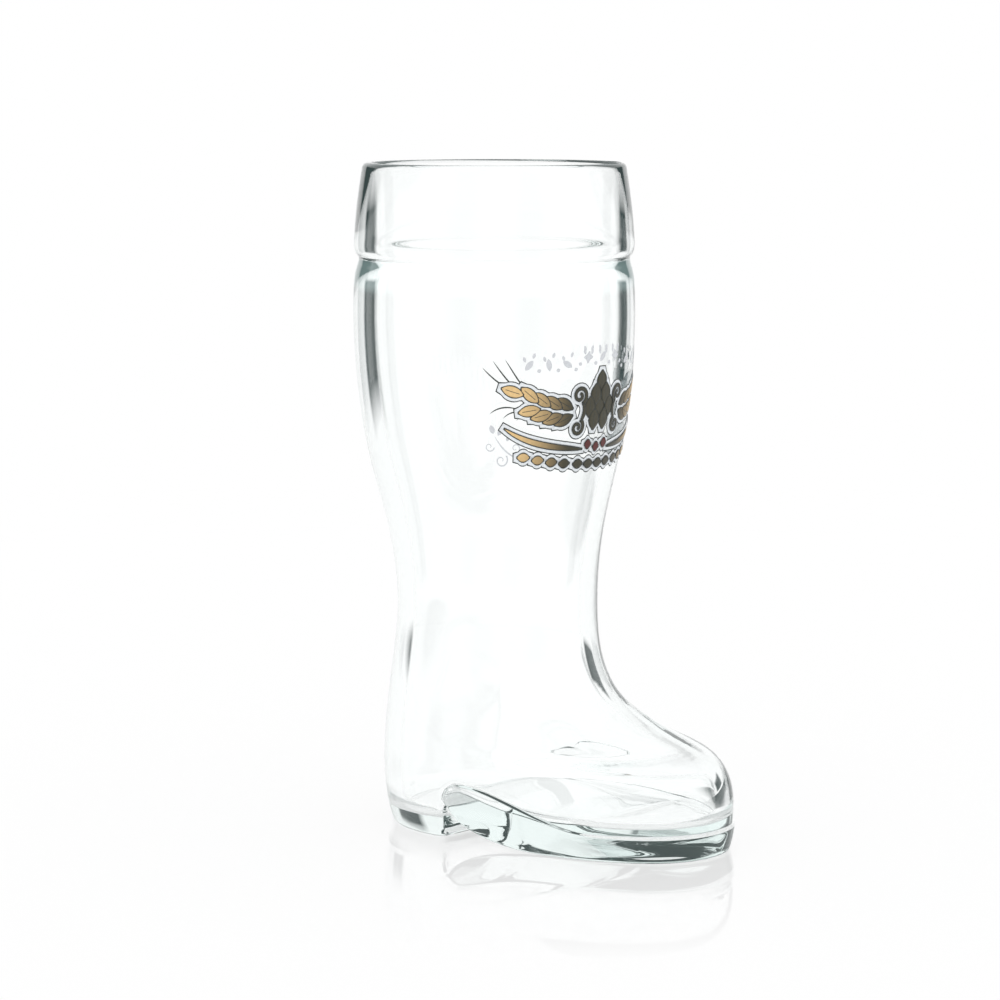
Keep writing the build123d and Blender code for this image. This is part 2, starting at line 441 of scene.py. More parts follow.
@dataclass
class BootGlass:
    """The boot glass itself, one closed skin of outside, lip and hollow. Sizes are in mm."""

    glass_height: float = 195.0
    toe_reach: float = 82.6
    barrel_radius: float = 41.3
    barrel_height: float = 150.0
    wall: float = 5.2
    bottom_thickness: float = 7.5
    heel_thickness: float = 5.4
    toe_thickness: float = 9.0
    crown_thickness: float = 4.2
    breast_thickness: float = 4.2

    shoulder_radius: float = 40.6
    shoulder_height: float = 166.4
    cuff_line: Points = (
        (41.08, 159.6), (40.8, 162.4), (40.2, 164.9), (39.7, 166.7), (39.75, 167.7),
        (40.45, 168.7), (40.98, 170.2), (40.98, 173.5), (40.55, 179.0), (39.75, 186.0),
        (38.75, 192.6),
    )
    lip_outer_rounding: float = 1.6
    lip_inner_rounding: float = 0.8

    ankle_height: float = 64.0
    ankle_front: float = 32.4
    ankle_back: float = 29.5
    ankle_side: float = 27.5
    heel_back: float = 33.9
    heel_side: float = 31.6

    breast_reach: float = 4.7
    breast_lean: float = 1.0
    breast_height: float = 6.0
    arch_width: float = 4.6
    arch_height: float = 9.4
    arch_end: float = 45.7
    arch_steep_run: float = 0.143
    arch_steep_fall: float = 0.6
    arch_crown_pull: float = 0.3
    arch_sole_pull: float = 0.47
    welt_ledge: float = 0.8
    welt_height: float = 7.6
    welt_end: float = 60.0
    curl_reach: float = 8.0
    curl_nose_height: float = 11.2
    curl_crest: float = 15.0
    curl_height: float = 17.0
    curl_pull: float = 1.0
    sole_rounding: float = 0.8
    breast_rounding: float = 3.6
    breast_rounding_end: float = 15.0
    least_fade: float = 0.001
    breast_edge: float = 0.98
    breast_draw: float = 0.8
    floor_rounding: float = 4.0
    floor_slope: tuple[float, float] = (-5.0, 50.0)
    hump_dip: float = 1.0
    hump_climb_pull: float = 0.6
    hump_crest_pull: float = 0.13
    hump_toe_pull: float = 0.35
    hump_softness: float = 0.9
    hump_spread: float = 2.0

    round_arm: float = 0.5523
    toe_arm: float = 0.70
    toe_flare: float = 0.068
    full_toe_share: float = 0.16
    round_level_share: float = 0.86

    toe_shares: Points = (
        (0.965, 0.0), (0.995, 0.11), (1.0, 0.215), (0.98, 0.315), (0.915, 0.392),
        (0.65, 0.466), (0.32, 0.545), (0.145, 0.625), (0.05, 0.74), (0.0, 1.0),
    )
    heel_shares: Points = (
        (0.34, 0.0), (0.92, 0.16), (1.0, 0.34), (0.73, 0.56), (0.26, 0.80), (0.0, 1.0),
    )
    flank_shares: Points = (
        (0.40, 0.0), (0.93, 0.17), (1.0, 0.34), (0.76, 0.56), (0.29, 0.80), (0.0, 1.0),
    )
    shin_shares: Points = (
        (0.135, 0.326), (0.52, 0.535), (0.865, 0.767), (1.0, 1.0),
    )
    calf_shares: Points = (
        (0.26, 0.326), (0.635, 0.535), (0.90, 0.767), (1.0, 1.0),
    )
    leg_flank_shares: Points = (
        (0.32, 0.326), (0.68, 0.535), (0.913, 0.767), (1.0, 1.0),
    )

    heel_corner: float = 0.34
    toe_corner: float = 1.62
    corner_gap: float = 0.008
    nose_samples: int = 400
    end_columns: int = 24
    heel_columns: int = 22
    column_steps: Points = (
        (2.0, 1.0), (4.2, 0.3), (5.9, 0.19), (9.6, 0.3), (48.0, 1.1), (90.0, 1.4),
    )
    foot_line: float = 25.0
    hollow_foot_line: float = 40.0
    bore_shift: tuple[float, float] = (0.46, 0.39)
    bore_shift_heights: tuple[float, float] = (60.0, 110.0)
    step_softness: float = 0.5
    step_reach: float = 1.2
    least_edge: float = 1.0
    cap_fades: tuple[float, float] = (-3.0, 50.0)
    settling_rounds: tuple[int, int] = (3, 6)

    foot_step: float = 0.5
    instep_height: float = 45.0
    instep_step: float = 1.3
    shaft_height: float = 66.0
    shaft_levels: int = 36
    level_gap: float = 1.0
    sole_levels: int = 6
    edge_levels: int = 8
    foot_levels: int = 14
    cuff_levels: int = 90
    lip_levels: tuple[int, int] = (9, 7)
    bore_levels: int = 20
    hollow_levels: int = 56
    floor_levels: int = 10

    def __post_init__(self) -> None:
        """Works out the side lines, the profiles of arch, hump and welt, and the columns."""
        self.leg_x = (self.barrel_radius - self.toe_reach - self.welt_ledge) / 2
        self.bore_radius = self.barrel_radius - self.wall
        self.front = self._side_line(
            self.toe_shares, self.toe_reach, self.shin_shares, self.ankle_front
        )
        self.back = self._side_line(
            self.heel_shares, self.heel_back, self.calf_shares, self.ankle_back
        )
        self.flank = self._side_line(
            self.flank_shares, self.heel_side, self.leg_flank_shares, self.ankle_side
        )
        self.arch = self._arch()
        self.hump = self._hump()
        self.welt = self._welt()
        self._lay_columns()

    def _side_line(
        self, foot_shares: Points, foot_reach: float, leg_shares: Points, ankle_reach: float
    ) -> SideLine:
        """One side line, from the floor over the ankle to the shoulder under the cuff.

        Args:
            foot_shares: Shares of the way out from the ankle to the foot, and up to the ankle.
            foot_reach: How far the foot reaches.
            leg_shares: Shares of the way out from the ankle to the barrel, and up to it.
            ankle_reach: How far the ankle reaches.

        Returns:
            The side line.
        """
        foot = [
            (ankle_reach + out * (foot_reach - ankle_reach), up * self.ankle_height)
            for out, up in foot_shares
        ]
        leg = [
            (
                ankle_reach + out * (self.barrel_radius - ankle_reach),
                self.ankle_height + up * (self.barrel_height - self.ankle_height),
            )
            for out, up in leg_shares
        ]
        return SideLine((*foot, *leg, (self.shoulder_radius, self.shoulder_height)))

    def _arch(self) -> np.ndarray:
        """The underside in side view: up the heel's breast, over the crown, down to the sole.

        Returns:
            Its points, as reach and height.
        """
        breast = self.breast_reach + self.breast_lean
        crown_end = self.breast_reach + self.arch_width
        run = self.arch_end - crown_end
        steep = np.array((self.arch_steep_run * run, -self.arch_steep_fall * self.arch_height))
        top = np.array((crown_end, self.arch_height))
        crown = bezier((
            (breast, self.breast_height), (breast + self.breast_lean / 2, self.arch_height),
            top - steep * self.arch_crown_pull, top,
        ))
        under = bezier((
            top, top + steep, (crown_end + self.arch_sole_pull * run, 0.0), (self.arch_end, 0.0),
        ))
        return np.vstack([[(self.breast_reach, 0.0)], crown, under[1:]])

    def _hump(self) -> np.ndarray:
        """The hump of the hollow's floor over the arch, in side view.

        Returns:
            Its points, as reach and height.
        """
        crest = self.arch_height + self.crown_thickness
        crest_reach = self.breast_reach + self.arch_width + self.breast_lean
        start = self.breast_reach - self.breast_thickness
        end = self.arch_end + self.bottom_thickness
        pull, run = self.hump_climb_pull, end - crest_reach
        climb = bezier((
            (start, 0.0), (start, crest * pull),
            (start + (crest_reach - start) * pull, crest), (crest_reach, crest),
        ))
        fall = bezier((
            (crest_reach, crest), (crest_reach + run * self.hump_crest_pull, crest),
            (crest_reach + run * self.hump_toe_pull, self.toe_thickness),
            (end, self.toe_thickness - self.hump_dip),
        ))
        return np.vstack([climb, fall[1:]])

    def _welt(self) -> np.ndarray:
        """The welt's line in side view, from the curl's nose over its crest to the toe.

        Returns:
            Its points, as reach and height.
        """
        level = (self.welt_end - self.curl_crest) / 3
        drop = (self.curl_height - self.curl_nose_height) / 3
        curl = bezier((
            (self.curl_reach, self.curl_nose_height),
            (self.curl_reach, self.curl_nose_height + 2 * drop),
            ((self.curl_crest + self.curl_reach) / 2 - self.curl_pull, self.curl_height),
            (self.curl_crest, self.curl_height),
        ))
        climb = bezier((
            (self.curl_crest, self.curl_height), (self.curl_crest + level, self.curl_height),
            (self.welt_end - level, self.welt_height), (self.welt_end, self.welt_height),
        ))
        return np.vstack([curl, climb[1:], [(self.toe_reach * 2, self.welt_height)]])

    def _lay_columns(self) -> None:
        """Spreads the columns of the skin round the boot, closest over the heel's breast."""
        share = np.linspace(0.0, 1.0, self.nose_samples)
        out = self.toe_arm * 3 * share * (1 - share) ** 2 + 3 * share**2 * (1 - share) + share**3
        reach = float(self.front.reach(np.array([0.0]))[0])
        stops, at = [], 0.0
        for end, step in self.column_steps:
            while at < end:
                at += step
                stops.append(at / reach)
        toe_places = 1 + np.interp(np.array(stops), out, share)
        toe_places = toe_places[toe_places < self.toe_corner - self.corner_gap]
        heel_places = np.linspace(self.heel_corner, 1.0, self.heel_columns)
        long_side = np.concatenate([heel_places, toe_places, [self.toe_corner]])
        across = np.linspace(-1.0, 1.0, self.end_columns + 1)[1:-1]
        heel_end = self.heel_corner * np.abs(across)
        toe_end = 2 - (2 - self.toe_corner) * np.abs(across)
        self.long_count = len(long_side)
        self.place = np.concatenate([long_side, long_side, heel_end, toe_end])
        self.hand = np.concatenate([
            np.ones(self.long_count), -np.ones(self.long_count), np.sign(across), np.sign(across)
        ])

    def _column(self, along: int, across: int) -> int:
        """The number of the column that a rim point of a cap's grid belongs to, or -1 inside.

        Args:
            along: The point's place along the boot in the grid.
            across: Its place across the boot.

        Returns:
            The column.
        """
        if across == self.end_columns:
            return along
        if across == 0:
            return self.long_count + along
        if along == 0:
            return 2 * self.long_count + across - 1
        if along == self.long_count - 1:
            return 2 * self.long_count + self.end_columns - 2 + across
        return -1

    def _outline(
        self, back: np.ndarray, front: np.ndarray, side: np.ndarray, height: np.ndarray
    ) -> np.ndarray:
        """Points on level outlines, one for each column, from its reaches and its height.

        Args:
            back: Each column's reach backwards.
            front: Each column's reach forwards.
            side: Each column's reach sideways.
            height: Each column's height.

        Returns:
            One point a row, measured from the leg's axis.
        """
        start = self.full_toe_share * self.ankle_height
        rise = (height - start) / (self.round_level_share * self.ankle_height - start)
        full = 1 - smooth(rise)
        arm = self.round_arm
        toe_arm = arm + (self.toe_arm - arm) * full
        flare = self.toe_flare * full
        heel = self.place < 1
        share = np.where(heel, self.place, self.place - 1)
        rest = 1 - share
        near, far = 3 * share * rest**2, 3 * share**2 * rest
        along = np.where(
            heel,
            -back * (rest**3 + near + arm * far),
            front * (toe_arm * near + far + share**3),
        )
        across = np.where(
            heel,
            arm * side * near + (side - flare * arm * back) * far + side * share**3,
            side * rest**3 + (side + flare * toe_arm * front) * near + toe_arm * side * far,
        )
        return np.stack([along, across * self.hand, height], axis=1)

    def _outside(self, height: np.ndarray, grow: np.ndarray | float = 0.0) -> np.ndarray:
        """The points of the outside at each column's height, grown by grow."""
        lines = (self.back, self.front, self.flank)
        return self._outline(*[line.reach(height) + grow for line in lines], height)

    def _inside(self, height: np.ndarray, inset: float = 0.0) -> np.ndarray:
        """The points of the hollow's wall at each column's height, moved in by inset.

        Args:
            height: Each column's height.
            inset: How far the wall is moved in.

        Returns:
            One point per column.
        """
        lines = (self.back, self.front, self.flank)
        reaches = [
            np.where(height < self.barrel_height, line.reach(height, self.wall), self.bore_radius)
            for line in lines
        ]
        spots = self._outline(*[reach - inset for reach in reaches], height)
        low, high = self.bore_shift_heights
        return spots + np.outer(smooth((height - low) / (high - low)), (*self.bore_shift, 0.0))

    def _ring(self, radius: float, height: float) -> np.ndarray:
        """A round ring of the skin."""
        reach, level = (np.full(len(self.place), value) for value in (radius, height))
        return self._outline(reach, reach, reach, level)

    def _under(self, along: np.ndarray) -> np.ndarray:
        """The height of the underside, which is on the floor but for the arch."""
        return np.interp(along, self.arch[:, 0], self.arch[:, 1], left=0.0, right=0.0)

    def _floor(self, along: np.ndarray) -> np.ndarray:
        """The height of the hollow's floor, which humps over the arch.

        Args:
            along: How far forward of the leg's axis to look.

        Returns:
            The heights.
        """
        hump = np.interp(along, self.hump[:, 0], self.hump[:, 1], left=0.0, right=0.0)
        plain = np.interp(along, self.floor_slope, (self.heel_thickness, self.toe_thickness))
        apart = (hump - plain) / self.hump_softness
        near = 1 - np.exp(-np.logaddexp(0.0, apart + self.hump_spread))
        return plain + self.hump_softness * np.logaddexp(0.0, apart) * near

    def _ledge(self, points: np.ndarray) -> np.ndarray:
        """How far the welt stands out at each point, softly stepped over its line.

        Args:
            points: Points of the outside.

        Returns:
            One distance per point.
        """
        spots = points[:, [0, 2]]
        far = distance_to(np.vstack([[(self.curl_reach, -self.wall)], self.welt]), spots)
        line = np.interp(spots[:, 0], self.welt[:, 0], self.welt[:, 1])
        within = (spots[:, 0] > self.curl_reach) & (spots[:, 1] < line)
        depth = np.where(within, far, -far) / self.step_softness
        return self.welt_ledge * smooth((depth + 1) / 2)

    def _soften(self, points: np.ndarray) -> np.ndarray:
        """How far the side is drawn in at each point, to round its edge round the arch.

        Args:
            points: Points of the outside.

        Returns:
            One distance per point.
        """
        spots = points[:, [0, 2]]
        far = distance_to(np.vstack([[(self.breast_reach, -self.wall)], self.arch]), spots)
        end = self.breast_rounding_end
        fade = (end - spots[:, 0]) / (end - self.arch_width)
        radius = self.breast_rounding * np.clip(fade, self.least_fade, 1.0)
        depth = 1 - np.clip(far / radius, 0.0, 1.0)
        return radius * (1 - np.sqrt(1 - depth**2 * self.breast_edge)) * self.breast_draw

    def _settle(self, base: np.ndarray) -> tuple[np.ndarray, np.ndarray]:
        """The heights of the underside and of the welt's line over it, at each column.

        Args:
            base: The outline's points at the floor.

        Returns:
            The heights of the underside and of the welt's line.
        """
        under = self._under(base[:, 0])
        for _ in range(self.settling_rounds[0]):
            under = self._under(self._outside(under)[:, 0])
        along = self._outside(under)[:, 0]
        line = np.interp(along, self.welt[:, 0], self.welt[:, 1], left=self.curl_nose_height)
        return under, line

    def outside_rings(self) -> list[np.ndarray]:
        """The rings of the outside, from the sole up to the groove.

        Returns:
            One array of points per ring.
        """
        under, line = self._settle(self._outside(np.zeros(len(self.place))))
        rings = []
        for slope in np.linspace(math.pi / 2, 0.0, self.sole_levels):
            rise = under + self.sole_rounding * (1 - math.sin(slope))
            rings.append((rise, -self.sole_rounding * (1 - math.cos(slope))))
        start, reach = under + self.sole_rounding, self.step_reach * self.step_softness
        low, high = np.maximum(line - reach, start + self.least_edge), line + reach
        spans = (
            (start, low, self.edge_levels), (low, high, self.edge_levels),
            (high, self.foot_line, self.foot_levels),
        )
        for bottom, top, count in spans:
            rings += [(bottom + (top - bottom) * up, 0.0) for up in np.linspace(0, 1, count)[1:]]
        made = []
        for height, grow in rings:
            spots = self._outside(height, grow)
            made.append(self._outside(height, self._ledge(spots) + grow - self._soften(spots)))
        for height in self._levels(self.foot_line, self.cuff_line[0][1] - self.level_gap):
            made.append(self._outside(np.full(len(self.place), height)))
        return made

    def _levels(self, low: float, high: float) -> np.ndarray:
        """Heights from above low up to high, closest over the toe and the instep.

        Args:
            low: The height that they start above.
            high: The height that they end at.

        Returns:
            The heights, from the lowest.
        """
        instep, shaft = self.instep_height, self.shaft_height
        return np.concatenate([
            np.arange(low + self.foot_step, instep, self.foot_step),
            np.arange(instep + self.level_gap, shaft, self.instep_step),
            np.linspace(shaft + self.level_gap, high, self.shaft_levels),
        ])

    def rim_rings(self) -> list[np.ndarray]:
        """The rings of the groove, the cuff, the lip and the bore's top.

        Returns:
            One array of points per ring.
        """
        line = SideLine(self.cuff_line, samples=self.cuff_levels).curve
        slope = line[-1] - line[-2]
        slope /= np.linalg.norm(slope)
        lean = math.degrees(math.atan2(-slope[0], slope[1]))
        lip_centre = line[-1] - np.array((slope[1], -slope[0])) * self.lip_outer_rounding
        lip_centre += slope * (
            (self.glass_height - self.lip_outer_rounding - lip_centre[1]) / slope[1]
        )
        inner = np.array((
            self.bore_radius + self.lip_inner_rounding, self.glass_height - self.lip_inner_rounding
        ))
        profile = [tuple(spot) for spot in line]
        profile += arc(lip_centre, self.lip_outer_rounding, lean, 90, self.lip_levels[0])
        rings = [self._ring(radius, height) for radius, height in profile]
        shift = np.array((*self.bore_shift, 0.0))
        return rings + [
            self._ring(radius, height) + shift
            for radius, height in arc(inner, self.lip_inner_rounding, 90, 180, self.lip_levels[1])
        ]

    def inside_rings(self) -> list[np.ndarray]:
        """The rings of the hollow, from under the lip down to the floor's rounding.

        Returns:
            One array of points per ring.
        """
        count = len(self.place)
        top = self.glass_height - self.lip_inner_rounding
        bore = np.linspace(top, self.barrel_height, self.bore_levels)[1:]
        leg = self._levels(self.hollow_foot_line, self.barrel_height - self.level_gap)[::-1]
        made = [self._inside(np.full(count, height)) for height in np.concatenate([bore, leg])]
        floor = self._floor_heights()
        fall = floor + self.floor_rounding - self.hollow_foot_line
        for share in np.linspace(0, 1, self.hollow_levels)[1:]:
            made.append(self._inside(self.hollow_foot_line + fall * share))
        for slope in np.linspace(0.0, math.pi / 2, self.floor_levels)[1:]:
            height = floor + self.floor_rounding * (1 - math.sin(slope))
            made.append(self._inside(height, self.floor_rounding * (1 - math.cos(slope))))
        return made

    def _floor_heights(self) -> np.ndarray:
        """The floor's height where each column of the hollow lands on it.

        Returns:
            One height per column.
        """
        height = np.full(len(self.place), self.bottom_thickness)
        for _ in range(self.settling_rounds[1]):
            height = self._floor(self._inside(height, self.floor_rounding)[:, 0])
        return height

    def _cap(self, mesh: bmesh.types.BMesh, column: Any, ring: np.ndarray, floor: Any) -> list:
        """Adds a grid that closes a ring at the heights of a floor, and hands back its rim.

        Args:
            mesh: The mesh that gets the grid.
            column: The layer that holds each vertex's column.
            ring: The ring's points.
            floor: The function that gives the height at a reach.

        Returns:
            The rim's vertices.
        """
        made = bmesh.ops.create_grid(
            mesh, x_segments=self.long_count - 1, y_segments=self.end_columns, size=1.0
        )["verts"]
        last = self.long_count - 1
        left, right = ring[: self.long_count], ring[self.long_count : 2 * self.long_count]
        rim = []
        for vertex in made:
            along = round((vertex.co.x + 1) / 2 * last)
            across = round((vertex.co.y + 1) / 2 * self.end_columns)
            number = self._column(along, across)
            vertex[column] = number
            if number >= 0:
                vertex.co = self.to_frame(ring[number])
                rim.append(vertex)
                continue
            share = across / self.end_columns
            spot = left[along] * share + right[along] * (1 - share)
            for end, fade_end in zip((0, last), self.cap_fades):
                rim_point = ring[self._column(end, across)]
                chord = left[end] * share + right[end] * (1 - share)
                fade = (left[along][0] - fade_end) / (left[end][0] - fade_end)
                spot = spot + (rim_point - chord) * max(fade, 0.0) ** 2
            spot[2] = floor(np.array([spot[0]]))[0]
            vertex.co = self.to_frame(spot)
        return rim

    def to_frame(self, point: np.ndarray) -> Vector:
        """A point measured from the leg's axis in mm, as one in the row frame in metres."""
        return Vector(((point[0] + self.leg_x) * MM, point[1] * MM, point[2] * MM))

    def build(self) -> bpy.types.Object:
        """Builds the glass as one closed mesh.

        Returns:
            The glass, in place.
        """
        mesh = bmesh.new()
        column = mesh.verts.layers.int.new("column")
        rings = self.outside_rings() + self.rim_rings() + self.inside_rings()
        self._cap(mesh, column, rings[0], self._under)
        edges = [edge for edge in mesh.edges if edge.is_boundary]
        for ring in rings[1:]:
            made = bmesh.ops.extrude_edge_only(mesh, edges=edges)["geom"]
            for item in made:
                if isinstance(item, bmesh.types.BMVert):
                    item.co = self.to_frame(ring[item[column]])
            edges = [
                item for item in made if isinstance(item, bmesh.types.BMEdge) and item.is_boundary
            ]
        last = list(dict.fromkeys(vertex for edge in edges for vertex in edge.verts))
        rim = self._cap(mesh, column, rings[-1], self._floor)
        bmesh.ops.remove_doubles(mesh, verts=last + rim, dist=WELD_REACH)
        bmesh.ops.recalc_face_normals(mesh, faces=mesh.faces)
        mesh.verts.layers.int.remove(column)
        return as_piece(mesh, "glass_boot")


def arc(
    centre: np.ndarray, radius: float, start: float, end: float, count: int
) -> list[tuple[float, float]]:
    """Points on an arc.

    Args:
        centre: Its centre.
        radius: Its radius.
        start: The angle of its first point, in degrees.
        end: The angle of its last point, in degrees.
        count: How many points to give.

    Returns:
        The points.
    """
    return [
        (centre[0] + radius * math.cos(turn), centre[1] + radius * math.sin(turn))
        for turn in np.radians(np.linspace(start, end, count))
    ]


def as_piece(mesh: bmesh.types.BMesh, name: str) -> bpy.types.Object:
    """Makes a smooth-shaded object of a finished mesh.

    Args:
        mesh: The mesh, which is freed.
        name: The piece's name.

    Returns:
        The object.
    """
    data = bpy.data.meshes.new(name)
    mesh.to_mesh(data)
    mesh.free()
    data.shade_smooth()
    made = bpy.data.objects.new(name, data)
    bpy.context.scene.collection.objects.link(made)
    return made


def dress(piece: bpy.types.Object, material: bpy.types.Material) -> None:
    """Gives a piece one material in place of any that it has."""
    piece.data.materials.clear()
    piece.data.materials.append(material)


@dataclass(frozen=True)
class Stroke:
    """A stroke of the print: its middle line and its half widths, in mm round and up the leg."""

    path: np.ndarray
    halves: np.ndarray

    lens_points: ClassVar[int] = 11
    lens_bulge: ClassVar[float] = 4 / 3
    sweep_points: ClassVar[int] = 18
    sweep_taper: ClassVar[float] = 0.6
    curl_points: ClassVar[int] = 30
    curl_winding: ClassVar[float] = 0.8
    curl_taper: ClassVar[float] = 0.5

    @classmethod
    def lens(cls, across: float, up: float, tilt: float, length: float, width: float) -> "Stroke":
        """A pointed oval, such as a grain or a leaf.

        Args:
            across: The place of its middle round the leg.
            up: The place of its middle over the print's middle.
            tilt: How far it is turned, in degrees.
            length: Its length.
            width: Its width.

        Returns:
            The stroke.
        """
        bulge = width / 2 * cls.lens_bulge
        corners = ((-length / 2, 0), (-length / 4, bulge), (length / 4, bulge), (length / 2, 0))
        curve = bezier(corners, cls.lens_points)
        turn = math.radians(tilt)
        way = np.array((math.cos(turn), math.sin(turn)))
        return cls(np.array((across, up)) + curve[:, :1] * way, curve[:, 1])

    @classmethod
    def sweep(cls, corners: Points, width: float) -> "Stroke":
        """A band along a Bezier curve, thinner to its ends."""
        swell = np.sin(np.linspace(0.0, math.pi, cls.sweep_points)) ** cls.sweep_taper
        return cls(bezier(corners, cls.sweep_points), width / 2 * swell)

    @classmethod
    def curl(
        cls, across: float, up: float, size: float, start: float, turns: float, width: float
    ) -> "Stroke":
        """A tendril that winds in round a place.

        Args:
            across: The place of its middle round the leg.
            up: The place of its middle over the print's middle.
            size: The radius that it starts with.
            start: The angle that it starts at, in degrees.
            turns: How many turns it makes, less than zero for clockwise ones.
            width: Its width at the start.

        Returns:
            The stroke.
        """
        share = np.linspace(0.0, 1.0, cls.curl_points)
        turn = math.radians(start) + share * turns * math.tau
        radius = size * (1 - cls.curl_winding * share)
        way = np.stack([np.cos(turn), np.sin(turn)], axis=1)
        halves = width / 2 * (1 - cls.curl_taper * share)
        return cls(np.array((across, up)) + radius[:, None] * way, halves)

    def grown(self, by: float) -> "Stroke":
        """The stroke made wider and longer on every side.

        Args:
            by: How far every side moves out.

        Returns:
            The grown stroke.
        """
        path = self.path.copy()
        for end, inner in ((0, 1), (-1, -2)):
            step = path[end] - path[inner]
            path[end] = path[end] + step / np.linalg.norm(step) * by
        return Stroke(path, self.halves + by)

    def mirrored(self) -> "Stroke":
        """The same stroke on the other side of the shin."""
        return Stroke(self.path * (-1, 1), self.halves)


@dataclass
class FiredPrint:
    """The print on the shin: barley ears, a hop cone, berries, beads, leaves and tendrils."""

    boot: BootGlass
    print_middle: float = 125.0
    panel_turn: float = 27.0
    film: float = 0.03
    order_step: float = 0.0004
    base_lift: float = 0.03
    under_lift: float = 0.09
    ground_lift: float = 0.15
    line_lift: float = 0.21
    fill_rise: float = 0.0015
    row_step: float = 0.0045
    inner_line: float = 0.3
    band: float = 1.15
    outer_line: float = 1.45
    across_steps: int = 6
    vein: float = 0.09
    least_across: float = 0.1

    ear_pairs: int = 4
    grain: tuple[float, float] = (6.6, 3.0)
    ear_length: float = 15.0
    ear_rise: float = 4.0
    tip_rise: float = 6.4
    ear_lean: float = 18.0
    grain_splay: float = 24.0
    row_gap: float = 2.3
    awns: tuple[tuple[float, float, float], ...] = (
        (-30.0, 3.2, 5.0), (-27.0, 2.6, 6.2), (-23.5, 1.4, 6.4), (-28.0, -2.4, -3.4),
        (-24.0, -4.0, -4.2), (-20.0, -5.0, -4.6),
    )
    awn_width: float = 0.42
    scale_rows: tuple[int, ...] = (1, 2, 3, 2)
    scale: tuple[float, float] = (5.8, 4.0)
    scale_pitch: float = 4.4
    scale_drop: float = 3.7
    cone_top: float = 8.5
    bead: tuple[float, float] = (3.8, 2.4)
    bead_count: int = 4
    bead_pitch: float = 4.7
    bead_drop: float = 15.5
    bead_bow: float = 1.5
    berry: float = 2.6
    berry_pitch: float = 3.8
    berry_drop: float = 10.6
    twig_pitch: float = 6.0
    twig_turn: float = 19.46

    def _panel(self, side: int) -> float:
        """The middle of a panel round the leg: side 0 is the shin's front, -1 its left."""
        return side * math.radians(self.panel_turn) * self.boot.barrel_radius

    def _ear(self) -> list[Stroke]:
        """The grains of the ear on the left of the shin, with two rows and a tip.

        Returns:
            The grains.
        """
        middle = self._panel(-1)
        grains = []
        for place in range(self.ear_pairs):
            share = (place + 0.5) / self.ear_pairs
            for row in (-1, 1):
                grains.append(Stroke.lens(
                    middle - (share - 0.5) * self.ear_length,
                    self.ear_rise * share * share + row * self.row_gap,
                    -(self.ear_lean * share + row * self.grain_splay), *self.grain,
                ))
        tip = (self.ear_length + self.grain[0]) / 2
        return grains + [Stroke.lens(middle - tip, self.tip_rise, -self.ear_lean, *self.grain)]

    def _awns(self) -> list[Stroke]:
        """The bristles of the ear on the left, from a root, a start and a rise each.

        Returns:
            The bristles.
        """
        return [
            Stroke.sweep(
                ((root, 3.6 + up), (root - 3.5, 4.8 + up), (root - 6.5, 5.6 + rise),
                 (root - 9.0, 5.4 + rise * 1.6)), self.awn_width,
            )
            for root, up, rise in self.awns
        ]

    def _beads(self) -> list[Stroke]:
        """The bowed row of beads on the left of the shin and its middle.

        Returns:
            The beads.
        """
        beads = []
        for side in (-1, 0):
            for place in range(self.bead_count):
                across = (place - (self.bead_count - 1) / 2) * self.bead_pitch
                share = across / (self.bead_count * self.bead_pitch) + side
                up = self.bead_bow * share * share - self.bead_drop
                beads.append(Stroke.lens(across + self._panel(side), up, 0.0, *self.bead))
        return beads

    def _cone(self) -> list[Stroke]:
        """The scales of the hop cone in the middle.

        Returns:
            The scales.
        """
        return [
            Stroke.lens(
                (place - (count - 1) / 2) * self.scale_pitch,
                self.cone_top - row * self.scale_drop, 90.0, *self.scale,
            )
            for row, count in enumerate(self.scale_rows)
            for place in range(count)
        ]

    def _vines(self) -> list[Stroke]:
        """The gold tendrils between the ear and the cone, and the band under the ear.

        Returns:
            The tendrils.
        """
        return [
            Stroke.sweep(((-32.5, -4.2), (-25.0, -9.5), (-15.0, -10.2), (-6.0, -11.0)), 1.5),
            Stroke.curl(-8.6, 4.6, 2.7, -60.0, 1.35, 0.75),
            Stroke.curl(-8.8, -4.6, 2.4, 60.0, -1.3, 0.7),
            Stroke.sweep(((-7.4, 2.2), (-5.8, 0.4), (-6.8, -1.6), (-7.6, -2.6)), 0.8),
        ]

    def _leaves(self) -> list[Stroke]:
        """The pale leaves over the ear and the cone: three twigs on each panel.

        Returns:
            The leaves.
        """
        leaves = []
        for side in (-1, 0):
            for place in range(3):
                across = (place - 1) * self.twig_pitch + side * self.twig_turn
                parts = (
                    (0.0, 15.5 + side * 1.7, 50.0 * (place - side), 3.6, 1.7),
                    (-1.4, 17.1 + side * 1.6, -70.0, 1.7, 0.9),
                    (1.4, 18.1 + side * 1.6, 70.0, 1.7, 0.9),
                    (3.0, 13.7 + side * 1.5, 20.0, 1.3, 1.1),
                )
                leaves += [Stroke.lens(across + along, *part) for along, *part in parts]
        return leaves

    def _sprig(self) -> list[Stroke]:
        """The pale sprig at the lower left of the shin.

        Returns:
            The sprig's strokes.
        """
        return [
            Stroke.sweep(((-26.5, -13.4), (-31.0, -12.4), (-33.5, -9.8), (-35.5, -6.2)), 0.5),
            Stroke.curl(-33.4, -13.4, 2.1, 40.0, -1.2, 0.5),
            Stroke.curl(-29.0, -9.9, 1.7, -120.0, 1.2, 0.45),
            Stroke.curl(-37.0, -9.4, 1.5, -10.0, -1.1, 0.4),
            Stroke.lens(-36.2, -4.4, 110.0, 2.6, 1.6),
            Stroke.lens(-33.9, -5.2, 60.0, 2.2, 1.3),
            Stroke.lens(-31.4, -7.0, 70.0, 1.8, 1.1),
        ]

